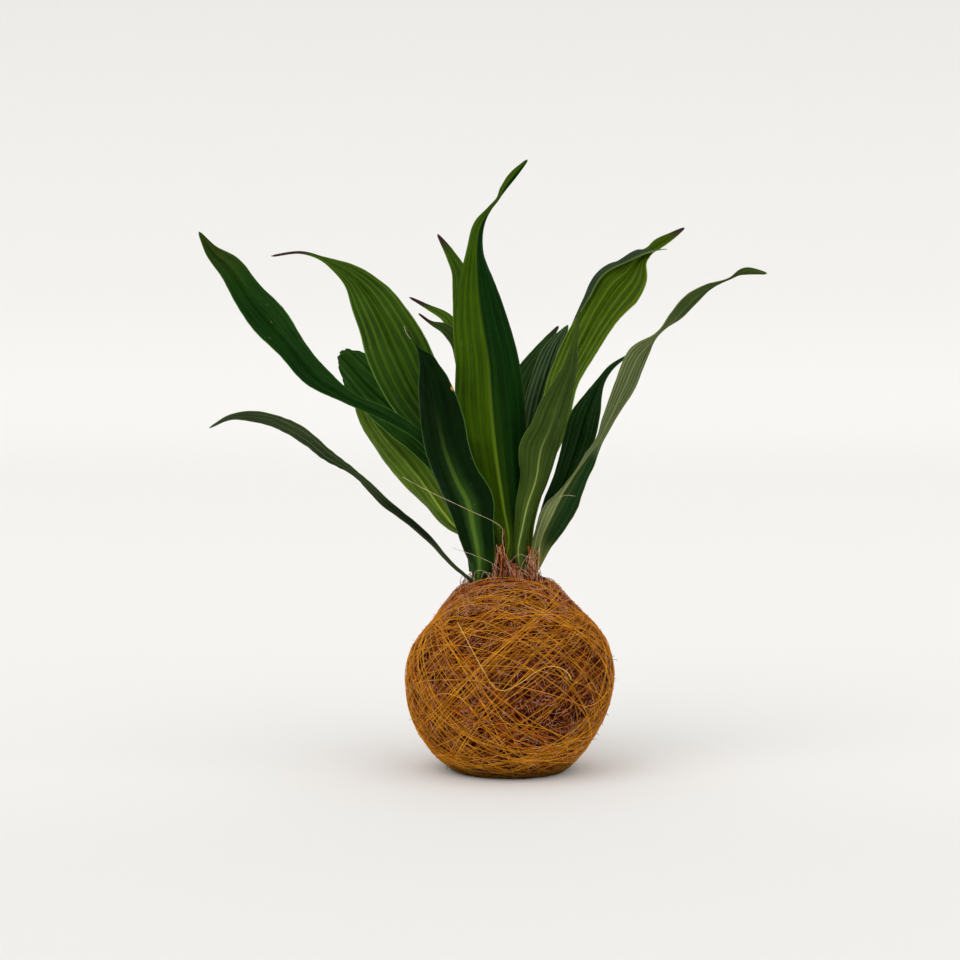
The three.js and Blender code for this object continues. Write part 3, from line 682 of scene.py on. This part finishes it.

# Leaves: the colours of both sides, and rows of x, y, z, width, facing and fold along the midrib, in mm and
# degrees. In a list of colours, each has its place before it, from 0 at the stem to 1 at the tip. Torn is how
# far the torn end reaches past the last row. FoldOver has the rows where the turned margin starts and ends,
# and its width. Rib, glow, foot, stripe and rimLight are strengths, rim is a width, a dry tip starts at
# tip, and half darkens one half of the blade as far as halfUntil, painted shade on the half turned away from
# the light
leaves = {
    "leaf_01_far_left": {
        "upper": [(0.0, (24, 60, 14)), (0.84, (28, 66, 14)), (1.0, (66, 82, 24))], "half": (0.6, 0.8, 0.5),
        "under": (52, 76, 26), "stripe": 0.2, "foot": 0.0, "rows": [
            (-22.2, -2.8, 115.5, 5, -86, 36), (-22.7, -2.9, 121, 6, -85, 36),
            (-25, -2, 137, 8, -75, 32), (-30, -3, 155, 9, -60, 28),
            (-38, -7, 174.5, 8.5, -48, 28), (-49, -10, 190.8, 8, -38, 26), (-68, -13, 204.8, 8.4, -32, 24),
            (-92, -20, 216.6, 9.2, -28, 22), (-110, -26, 229, 15.4, -26, 20),
            (-124.5, -33, 246.5, 19, -26, 18), (-136, -38, 261, 22, -26, 17),
            (-146.5, -44, 275, 19.6, -26, 16), (-156, -50, 290, 15, -25, 15),
            (-164.5, -55, 299, 8, -22, 14), (-171, -59, 310, 1.4, -20, 10),
        ],
    },
    "leaf_02_upper_left": {
        "upper": [(0.0, (28, 54, 4)), (0.45, (33, 63, 4)), (0.65, (52, 80, 10)), (1.0, (54, 84, 14))],
        "under": (80, 106, 34), "stripe": 0.6, "tip": 0.9, "rimLight": 0.8, "rows": [
            (-9, 3, 119, 7, -90, 36), (-11, 6, 136, 9, -60, 26), (-18, 9, 156, 16, -35, 24),
            (-27, 11, 176, 24, -22, 20), (-40, 13, 197, 30, -16, 18), (-54.2, 16, 219, 36.4, -14, 14),
            (-65.3, 20, 242, 37.8, -12, 12), (-72.7, 24, 258.5, 31.5, -12, 12),
            (-80.8, 28, 272.5, 26, -14, 12), (-89.4, 32, 283, 16, -18, 14), (-100.3, 37, 291, 8, -24, 16),
            (-109.8, 41, 296, 3, -28, 14), (-120.3, 44, 299.3, 2, -30, 12), (-140, 50, 297.5, 1.2, -30, 10),
        ],
    },
    "leaf_03_torn_left": {
        "upper": (40, 78, 18), "under": (66, 92, 38), "torn": 9.5, "rows": [
            (-9, 3.5, 110, 6, -85, 36), (-14, 7, 130, 9, -55, 30), (-21, 11, 147, 13, -38, 28),
            (-31, 15, 168, 20, -25, 24), (-46, 19, 187, 26, -20, 20), (-63.5, 25, 205, 30, -18, 16),
            (-80, 32, 220.5, 29, -16, 12), (-93, 38, 234, 22, -16, 10),
        ],
    },
    "leaf_04_low_left": {
        "upper": (52, 84, 16), "under": (82, 110, 26), "rib": 0.8, "rows": [
            (-19.8, 1, 110, 6, -115, 36), (-21.5, 6, 130, 9, -132, 32), (-35, 9.5, 146, 21, -150, 26),
            (-45.4, 14.8, 160, 25, -156, 22), (-56.4, 22.4, 174, 28.5, -158, 20),
            (-68.4, 29.5, 187.5, 28, -160, 18), (-79.2, 36, 201.5, 22, -160, 16),
            (-86, 43, 213, 15, -160, 14), (-93, 49, 226, 1.4, -160, 10),
        ],
    },
    "leaf_05_front_dark": {
        "upper": (24, 52, 8), "under": (4, 33, 0), "rib": 1.0, "ribTint": (1.7, 1.35, 1.0), "ribWidth": 2.2,
        "glow": 0.8, "stripe": 0.1, "rimLight": 1.0, "rim": 0.05, "spot": (0.035, 0.735), "rows": [
            (-17, -9, 111.3, 8.6, -172, 34), (-16.8, -10.6, 114.6, 12.2, -171, 31),
            (-16.4, -12.6, 119, 15.2, -171, 28), (-17.7, -15.8, 129.4, 20.8, -170, 26),
            (-20, -18.5, 141, 23.7, -170, 26), (-22.6, -21, 154.7, 29.6, -170, 26),
            (-30.5, -24, 171.7, 28, -168, 25), (-36.5, -26, 188.5, 27.6, -166, 23),
            (-39.3, -29, 203, 27.6, -164, 21), (-41, -32, 214, 25.4, -162, 19),
            (-43, -35.5, 225.2, 19.4, -160, 18), (-45.2, -39, 234, 12.2, -160, 18),
            (-47.3, -42, 239.8, 8.5, -156, 18), (-50.5, -45.5, 245, 2, -150, 16),
            (-56.5, -52, 256, 1.2, -140, 10),
        ],
    },
    "leaf_06_tall_centre": {
        "upper": (44, 78, 8), "under": (56, 86, 2), "rib": 0.28, "rimLight": 0.1,
        "half": (0.06, 0.3, 0.5), "rows": [
            (-4, -2.5, 117, 6, 180, 36), (0, -5, 131, 13, 180, 30), (-3, -6, 154, 30, 180, 22),
            (-7, -8, 181, 38, 180, 20), (-10, -9, 209, 42, 178, 18), (-12, -9, 238, 38, 176, 18),
            (-16, -8, 264, 31, 174, 18), (-18, -7, 283, 22, 170, 20), (-18.5, -5, 301, 10.5, 164, 22),
            (-16.2, -1, 315, 7, 150, 20), (-10.4, 2, 324, 4.6, 120, 16), (-5.8, 5, 330, 4, 115, 12),
            (-3, 7, 335.5, 4, 150, 12), (2, 10, 342.5, 4.6, 160, 12), (11, 13, 352.5, 1.4, 160, 10),
        ],
    },
    "leaf_07_back_slim": {
        "upper": (62, 92, 14), "under": (70, 98, 26), "tip": 0.95, "rows": [
            (-3, 8, 122, 6, 5, 34), (-3.5, 12.5, 138, 8, -5, 28), (-11, 18, 165, 10, -8, 24),
            (-17, 22, 190, 11, -10, 22), (-23, 28, 220, 12, -14, 20), (-27.7, 34, 253.5, 11.5, -18, 18),
            (-27, 38, 274.5, 13, -20, 16), (-28.7, 42, 287, 10.8, -24, 14), (-34.7, 46, 299, 6.4, -28, 14),
            (-41.5, 49, 310.5, 1.2, -28, 10),
        ],
    },
    "leaf_08_back_curled": {
        "upper": (70, 102, 14), "under": (80, 104, 30), "tip": 0.93, "rows": [
            (-4, 8.5, 110, 6, -5, 34), (-6, 22, 134, 9, -10, 30), (-11, 31, 160, 13, -10, 24),
            (-18, 42, 195, 16, -12, 20), (-25, 50, 230, 13, -18, 18), (-31.5, 58, 249.5, 10, -35, 16),
            (-36.5, 64, 260, 8.8, -45, 14), (-47.5, 70, 266.8, 4, -35, 12), (-59, 75, 273, 1, -30, 10),
        ],
    },
    "leaf_09_back_low": {
        "upper": (54, 80, 26), "under": (66, 92, 30), "tip": 0.94, "rows": [
            (-3.5, 8.5, 115, 6, 0, 34), (-7, 17.5, 135, 9, -12, 28), (-11, 23, 161, 13, -15, 24),
            (-15, 29, 190, 17, -15, 20), (-19.5, 36, 216, 17, -18, 18), (-25.5, 42, 236, 13, -24, 16),
            (-32, 46, 249, 9.6, -30, 14), (-38, 49, 254.6, 6.6, -34, 12), (-45.5, 53, 258, 2.6, -30, 10),
            (-53, 57, 263.5, 1.2, -30, 10),
        ],
    },
    "leaf_10_back_right": {
        "upper": (40, 70, 25), "under": (62, 88, 30), "stripe": 0.5, "tip": 0.965, "rows": [
            (5.5, 5.5, 110, 5, -40, 34), (3, 17, 132, 7, -10, 30), (4, 26, 155, 12, 5, 26),
            (7, 34, 178, 16, 12, 22), (10, 43, 201, 19, 15, 20), (12.8, 49, 221.5, 20.5, 18, 18),
            (19.8, 55, 237.5, 12.8, 22, 16), (24.5, 58, 247.5, 6, 24, 14), (30.5, 61, 256, 1.4, 24, 10),
        ],
    },
    "leaf_11_back_right_short": {
        "upper": (56, 80, 44), "under": (62, 88, 30), "stripe": 1.3, "rows": [
            (9.5, 6.5, 113, 5, 5, 34), (8, 12.5, 133, 7, 10, 28), (9, 19, 156, 12, 12, 26),
            (13.5, 23, 184, 16, 15, 22), (18, 28, 210, 18, 18, 20), (23.5, 34, 229, 17, 20, 18),
            (28.5, 38, 243.5, 12, 22, 14), (35.5, 42, 257, 1.4, 22, 10),
        ],
    },
    "leaf_12_front_right": {
        "upper": (46, 80, 16), "under": (60, 82, 26), "rib": 1.0, "ribTint": (1.35, 1.25, 2.4),
        "stripe": 0.14, "rows": [
            (7.5, -4, 113, 6, 200, 36), (5.5, -8, 127, 6.5, 188, 32), (8, -10, 142, 10, 178, 30),
            (10.5, -12, 154, 14, 174, 28), (15.5, -14, 170, 18, 170, 26), (18.5, -16, 188, 25, 166, 24),
            (23, -18, 199, 21, 164, 22), (26.5, -19, 209, 19, 163, 22), (31, -21, 222, 14, 162, 20),
            (35, -23, 234, 10, 160, 18), (37, -25, 245.5, 5, 158, 16), (39.5, -28, 267.5, 1.4, 155, 10),
        ],
    },
    "leaf_13_upper_right": {
        "upper": [(0.0, (84, 112, 30)), (0.5, (80, 108, 22)), (0.72, (66, 92, 6)), (1.0, (64, 88, 6))],
        "under": (48, 66, 40), "stripe": 0.5, "tip": 0.955, "foldOver": (4.0, 9.7, 4.2), "rows": [
            (12, 6, 121.5, 5, 25, 34), (13.5, 7.5, 147, 9, 28, 28), (19, 12, 170, 12, 25, 26),
            (27, 16, 196, 17.5, 22, 22), (33.8, 21, 226, 20.5, 20, 18), (43.2, 24, 246, 21.5, 20, 15),
            (54.8, 26, 266.5, 25, 20, 14), (63, 29, 278.3, 28.3, 20, 14), (71, 32, 286.6, 22.3, 20, 14),
            (76.7, 34.5, 295, 12, 22, 16), (82.7, 36.5, 299.8, 6.2, 28, 16), (88.7, 38, 304.4, 7.5, 32, 14),
            (96.8, 40.5, 309.3, 4.8, 35, 12), (104, 43, 314, 1.4, 40, 10),
        ],
    },
    "leaf_14_dark_right": {
        "upper": (18, 46, 10), "under": (44, 70, 24), "stripe": 0.55, "rows": [
            (14.8, 1, 114, 5, 85, 30), (18.5, 2, 128, 8, 60, 26), (23, 4, 142, 12, 40, 26),
            (33, 5, 167, 15, 25, 24), (41, 6, 189, 19, 18, 20), (45.5, 7, 205.5, 17.5, 15, 18),
            (49.5, 11, 216, 10.5, 15, 16), (54, 14, 225, 5, 20, 12), (59.5, 18, 232, 3.5, 30, 12),
            (69.5, 22, 239.5, 1.4, 40, 10),
        ],
    },
    "leaf_15_long_right": {
        "upper": (40, 74, 14), "rib": 0.15, "stripe": 0.5, "half": (0.05, 0.15, 0.07), "halfUntil": 0.34,
        "under": [
            (0.0, (104, 118, 64)), (0.3, (118, 132, 84)), (0.42, (92, 108, 62)),
            (0.66, (92, 106, 60)), (0.78, (56, 74, 30)), (1.0, (58, 76, 30)),
        ],
        "rows": [
            (14.5, -2, 108.5, 6, 115, 36), (16.8, -5, 120, 8, 165, 32), (18.8, -9, 134, 16, 200, 34),
            (25, -13, 149, 21, 200, 32), (31.9, -14, 162.5, 21, 220, 34), (43, -13, 179, 11.8, 228, 28),
            (51.6, -12.5, 192, 4.6, 192, 18), (57.5, -12.8, 204, 8, 155, 16), (67, -15, 224, 13.5, 168, 18),
            (74, -19, 240.5, 12.5, 160, 18), (85.6, -24, 254.2, 5, 115, 12), (94, -28, 262.4, 8.4, 150, 16),
            (103.2, -32, 272.6, 8, 158, 18), (111, -36, 279, 4.8, 145, 14), (123, -40, 284.2, 2.2, 120, 10),
            (130.5, -44, 288.2, 4.2, 165, 10), (143, -47, 287.2, 1.2, 170, 8),
        ],
    },
    "leaf_16_arching_left": {
        "upper": (46, 80, 22), "foot": 0.1, "stripe": 0.7,
        "under": [
            (0.0, (48, 60, 40)), (0.15, (44, 58, 36)), (0.2, (14, 24, 12)),
            (0.32, (18, 30, 14)), (0.44, (46, 61, 31)), (1.0, (57, 71, 41)),
        ],
        "rows": [
            (-21.4, -4, 109.8, 4, -92, 26), (-34, -8, 121, 6, -105, 28), (-45, -9, 133, 7, -108, 28),
            (-61, -12, 147, 9, -115, 24), (-70, -14, 154, 11.5, -120, 22), (-79, -17, 163.2, 10.5, -112, 22),
            (-87, -19, 172, 8, -104, 20), (-96, -22, 178, 11.6, -115, 20),
            (-104.5, -25, 183, 15.2, -124, 20),
            (-112.5, -28, 190.6, 13, -126, 18), (-125, -31.5, 198.6, 14, -126, 18),
            (-142, -35, 205.2, 14.5, -124, 16), (-155.5, -38, 206.3, 6, -120, 14),
            (-168, -41, 200.9, 1.2, -116, 10),
        ],
    },
}
leafLook = {  # for each leaf, unless its own entry says otherwise
    "rib": 0.35, "ribWidth": 1, "ribTint": (1.4, 1.3, 1.5), "glow": 0.35, "foot": 0.5, "stripe": 0.25,
    "rim": 0.045, "rimLight": 0.35, "tip": 1.2, "half": (1, 1, 1), "halfUntil": 1.3,
}
blade = {
    "columns": 32, "crowding": 1.15, "perRow": 10, "thickness": 0.45, "least": 0.5, "taper": 0.12,
    "full": 10, "pleat": 0.55, "pleats": 3, "fine": 0.2, "ridges": 7, "wave": 1.3, "waveLength": 46,
    "ripple": 0.35, "ribDepth": 0.45, "ribWidth": 0.9, "ribFull": 6, "uvLength": 60,
}
turned = {  # how a margin turns over
    "from": 0.8, "radius": 0.9, "least": 0.05, "turn": 160, "slope": 20, "rise": 0.3, "seat": 0.4,
    "onset": 2.5, "release": 0.3, "widen": 1.9, "widenFrom": 1.5, "widenTo": 0.35,
}


def curveThrough(rows):  # smooth values for any place along the rows, and the way to there
    rows = np.array(rows, float)
    steps = np.linalg.norm(np.diff(rows[:, :3], axis=0), axis=1)
    reach = np.r_[0, np.cumsum(steps)]
    rise = np.diff(rows, axis=0) / steps[:, None]
    inner = (rise[:-1] * steps[1:, None] + rise[1:] * steps[:-1, None]) / (steps[1:] + steps[:-1])[:, None]
    slope = np.vstack([rise[:1], inner, rise[-1:]])

    def at(place):
        place = np.clip(place, 0, len(rows) - 1)
        i = np.minimum(place.astype(int), len(rows) - 2)
        t = (place - i)[:, None]
        span = steps[i][:, None]
        bend = slope[i] * t * (1 - t) ** 2 - slope[i + 1] * t * t * (1 - t)
        return rows[i] * (1 + 2 * t) * (1 - t) ** 2 + rows[i + 1] * t * t * (3 - 2 * t) + span * bend

    def way(place):
        return np.interp(place, np.arange(len(rows)), reach)

    return at, way


def bladeRelief(across, half, phase, spots):  # the pleats, and all the unevenness with them
    full = np.minimum(1, half / blade["full"])
    pleat = -blade["pleat"] * full * np.cos(across * math.pi * blade["pleats"])
    fine = -blade["fine"] * full * np.cos(across * math.pi * blade["ridges"] + 0.6 * np.sin(phase * 0.7))
    wave = blade["wave"] * full * np.abs(across) ** 3 * np.sin(phase + np.where(across > 0, 0, 2))
    groove = np.exp(-((across * half / blade["ribWidth"]) ** 2))
    rib = -blade["ribDepth"] * np.minimum(1, half / blade["ribFull"]) * groove
    drift = np.array([noise.noise(Vector(spot) * 0.05) for spot in spots])
    ripple = blade["ripple"] * full * np.sin(across * 9 + drift * 14) * np.cos(phase * 2.3 + across * 4)
    return pleat, pleat + fine + wave + rib + ripple


# The left margin turns over to the front and lies on the blade as a narrow strip
def turnMargin(leaf, place, across, half, fold, seat, out, lift):
    start, end, strip = leaf["foldOver"]
    act = smooth(place, start, start + turned["onset"]) * (1 - smooth(place, end - turned["release"], end))
    late = smooth(place, end - turned["widenFrom"], end - turned["widenTo"])
    strip = strip * act * (1 + turned["widen"] * late)
    part = np.clip((-across - turned["from"]) / (1 - turned["from"]), 0, 1)  # 0 at the hinge, 1 at the edge
    bend = turned["radius"] * act + turned["least"]
    angle = np.minimum(part * 3, 1) * math.radians(turned["turn"])
    over = np.maximum(part * 3 - 1, 0) / 2 * strip
    reach = half * np.cos(fold)
    scale = np.clip((reach - bend) / np.maximum(reach * turned["from"], 0.1), 0.3, 1.25)
    flat = np.where(act > 0, out * (1 - act) + out * scale * act, out)
    slope = math.radians(turned["slope"])
    rolled = bend - reach - bend * np.sin(angle) + over * math.cos(slope)
    high = half * np.sin(fold) + seat + bend * (1 - np.cos(angle)) + over * math.sin(slope) * turned["rise"]
    out = np.where(part > 0, rolled * act + out * (1 - act), flat)
    lift = np.where(part > 0, high * act + lift * (1 - act), lift)
    return out, lift, np.where(part > 0, over * act * late, 0)


def bladePoints(leaf, across, place):
    at, way = curveThrough(leaf["rows"])
    last = len(leaf["rows"]) - 1
    spot = at(place)
    along = unit((at(place + 0.05) - at(place - 0.05))[:, :3])
    side = unit(np.cross((0, 1, 0), along))
    upper = np.cross(side, along)
    facing, fold = np.radians(spot[:, 4:5]), np.radians(spot[:, 5])
    right = side * np.cos(facing) + upper * np.sin(facing)
    up = upper * np.cos(facing) - side * np.sin(facing)
    half = np.maximum(spot[:, 3], blade["least"]) / 2
    if "torn" not in leaf:
        half = half * (1 - smooth(place, last - blade["taper"], last) * 0.98)
    phase = 2 * math.pi * way(place) / blade["waveLength"]
    points = spot[:, :3]
    pleat, uneven = bladeRelief(across, half, phase, points)
    out = half * across * np.cos(fold)
    lift = half * np.abs(across) * np.sin(fold) + uneven
    if "foldOver" in leaf:
        seat = pleat * turned["seat"]
        out, lift, slide = turnMargin(leaf, place, across, half, fold, seat, out, lift)
        points = points + along * slide[:, None]
    points = points + right * out[:, None] + up * lift[:, None]
    if "torn" in leaf:
        ragged = leaf["torn"] * (1 - 1.5 * (across - 0.1) ** 2)
        ragged = ragged + 0.5 * np.sin(17 * across) + 0.3 * np.sin(39 * across)
        points = points + along * (ragged * np.clip((place - last + 0.5) / 0.5, 0, 1))[:, None]
    return points, way(place)


def bladeFinish(name, colour, matte, look):
    f = Finish(name)
    uv = f.node("UVMap", {"uv_map": "blade"})
    across = f.node("SeparateXYZ", {}, {0: uv}, output=0)  # 0 and 1 at the margins
    out = abs(across - 0.5) * 2  # 0 on the midrib, 1 at the margins
    reach = f.node("Attribute", {"attribute_name": "reach"}, {}, output=2)  # 0 at the stem, 1 at the tip
    stops = colour if isinstance(colour, list) else [(0.0, colour), (1.0, colour)]
    base = f.node("ValToRGB", {"stops": [(place, srgb(*tone)) for place, tone in stops]}, {0: reach})
    red, green, blue = stops[0][1]
    pale = srgb(min(255, red * 1.2 + 58), min(255, green * 1.1 + 62), blue + 34)

    # Streaks, blotches and pale stripes that run along the blade
    streaks = f.cloud(1, 4, f.node("Mapping", {}, {"Vector": uv, "Scale": (34, 1.4, 1)}), 0.6)
    sway = f.cloud(1, 2, f.node("Mapping", {}, {"Vector": uv, "Scale": (2, 0.8, 1)}))
    stripes = (across * 46 + sway * 5).sine() * 0.5 + 0.5
    veins = ((across * 190).sine() * 0.5 + 0.5) * 0.35 + streaks * 0.65
    blotch = f.cloud(38, 4)
    mottled = (streaks * 0.55 + blotch * 0.45).ramp(0.36, 0.66)
    tint = f.mix(mottled, f.tinted(base, (0.5, 0.52, 0.5)), base)
    tint = f.mix(streaks.ramp(0.56, 0.74) * 0.35, tint, f.tinted(base, (2.0, 1.7, 2.2)))
    tint = f.mix(stripes.ramp(0.5, 1.0) * look["stripe"], tint, f.tinted(base, (2.3, 1.9, 2.6)))

    # One half of the blade darker, as far along as halfUntil: painted shade on the half turned away from the
    # light
    darker = across.ramp(0.53, 0.46) * reach.ramp(look["halfUntil"] + 0.06, look["halfUntil"])
    tint = f.mix(darker, tint, f.tinted(tint, look["half"]))

    # Pale foot and midrib
    glow = (1 - out.ramp(0.0, 0.55)) * reach.ramp(0.6, 0.08) * (look["rib"] * look["glow"])
    tint = f.mix(glow, tint, pale)
    tint = f.mix(reach.ramp(0.14, 0.0) * look["foot"], tint, pale)
    width = (0.035 + (1 - reach) * 0.035) * look["ribWidth"]
    rib = (1 - (out / width).ramp(0.35, 1.0)) * reach.ramp(0.72, 0.1) * look["rib"]
    tint = f.mix(rib, tint, f.tinted(pale, look["ribTint"]))

    # Small pale scuffs, a painted highlight along the rim, an orange spot and the dry tip
    scuffs = f.cloud(420, 3).ramp(0.66, 0.78) * f.cloud(60, 2).ramp(0.5, 0.7)
    tint = f.mix(scuffs * 0.5, tint, srgb(150, 158, 132))
    # painted highlight: a pale bluish line along both margins
    rim = out.ramp(1 - look["rim"], 1 - 0.4 * look["rim"])
    tint = f.mix(rim * look["rimLight"], tint, f.tinted(pale, (1.2, 1.2, 1.6)))
    if "spot" in look:
        near = abs(across - look["spot"][0]) / 0.05 + abs(reach - look["spot"][1]) / 0.014
        tint = f.mix((near + blotch * 0.6).ramp(1.2, 0.7), tint, srgb(196, 136, 50))
    tint = f.mix((reach + blotch * 0.04).ramp(look["tip"], look["tip"] + 0.05), tint, srgb(58, 40, 34))
    rough = 0.34 + matte + streaks * 0.12
    height = veins + stripes * 0.6 - rib * 0.6
    return f.done(height, 0.35, 0.00035, Base_Color=tint, Roughness=rough, Specular_IOR_Level=0.05)


for name, leaf in leaves.items():
    last = len(leaf["rows"]) - 1
    bpy.ops.mesh.primitive_grid_add(
        x_subdivisions=blade["columns"], y_subdivisions=last * blade["perRow"], size=2, calc_uvs=True
    )
    piece = bpy.context.object
    flat = places(piece)
    across = np.sign(flat[:, 0]) * np.abs(flat[:, 0]) ** blade["crowding"]  # finer by the midrib
    points, way = bladePoints(leaf, across, (flat[:, 1] + 1) / 2 * last)
    shapeMesh(piece, points * mm)
    reach = piece.data.attributes.new("reach", "FLOAT", "POINT")
    reach.data.foreach_set("value", way / way.max())
    corners = np.empty(len(piece.data.loops), int)
    piece.data.loops.foreach_get("vertex_index", corners)
    unwrapped = np.c_[(across[corners] + 1) / 2, way[corners] / blade["uvLength"]]
    piece.data.uv_layers[0].name = "blade"
    piece.data.uv_layers[0].data.foreach_set("uv", unwrapped.ravel())
    short = name[:7]
    look = {**leafLook, **leaf}
    for side, matte in (("upper", 0.0), ("under", 0.12)):
        piece.data.materials.append(bladeFinish(short + " " + side, leaf[side], matte, look))
    body = piece.modifiers.new("body", "SOLIDIFY")
    body.thickness, body.offset, body.material_offset = blade["thickness"] * mm, 0, 1
    applyAll(piece)
    piece.data.shade_smooth()
    hand(piece, short + "_blade", [], name)
print("leaves done")

# Studio: a pale floor that curves up behind the plant, with painted light falloff, an even surround and two
# wide soft lights, in metres
studio = {
    "front": 3.2, "back": 2.6, "bend": 0.9, "rise": 3.0, "halfWidth": 6, "strips": 60,
    "surround": (1, 0.99, 0.975, 1), "surroundStrength": 0.76,
}
lamps = {
    "key": {"from": (-0.75, -0.8, 1.1), "strength": 0.75, "angle": 50},
    "fill": {"from": (0.8, -0.7, 0.9), "strength": 0.42, "angle": 60},
}
bpy.ops.mesh.primitive_grid_add(x_subdivisions=2, y_subdivisions=studio["strips"], size=2)
floor = bpy.context.object
straight, quarter = studio["front"] + studio["back"], studio["bend"] * math.pi / 2
for vertex in floor.data.vertices:
    run = (vertex.co.y + 1) / 2 * (straight + quarter + studio["rise"])
    turn = min(max((run - straight) / studio["bend"], 0), math.pi / 2)
    vertex.co = (
        vertex.co.x * studio["halfWidth"],
        -studio["front"] + min(run, straight) + studio["bend"] * math.sin(turn),
        studio["bend"] * (1 - math.cos(turn)) + max(run - straight - quarter, 0),
    )
floor.data.shade_smooth()
f = Finish("studio ground")
deep, height = f.along("y"), f.along("z")
# Painted light falloff: lightest on the floor round the plant, a little darker towards the camera and far
# back, darker up the wall
ground = f.mix(deep.ramp(-0.25, 0.0), srgb(240, 239, 237), srgb(244, 243, 241))
ground = f.mix(deep.ramp(0.5, 2.4), ground, srgb(240, 239, 237))
ground = f.mix(height.ramp(0.02, 0.3), ground, srgb(233, 232, 230))
floor.data.materials.append(f.done(f.cloud(2.5, 3), 0.02, 0.001, Base_Color=ground, Roughness=0.9))
floor.name = "studioGround"

world = bpy.data.worlds.new("soft surround")
bpy.context.scene.world = world
world.use_nodes = True
surround = world.node_tree.nodes["Background"]
surround.inputs["Color"].default_value = studio["surround"]
surround.inputs["Strength"].default_value = studio["surroundStrength"]

for name, lamp in lamps.items():
    bpy.ops.object.light_add(type="SUN", location=lamp["from"])
    light = bpy.context.object
    light.name = name
    light.data.energy, light.data.angle = lamp["strength"], math.radians(lamp["angle"])
    light.rotation_euler = (-Vector(lamp["from"])).to_track_quat("-Z", "Y").to_euler()
deselect()
print("studio done")
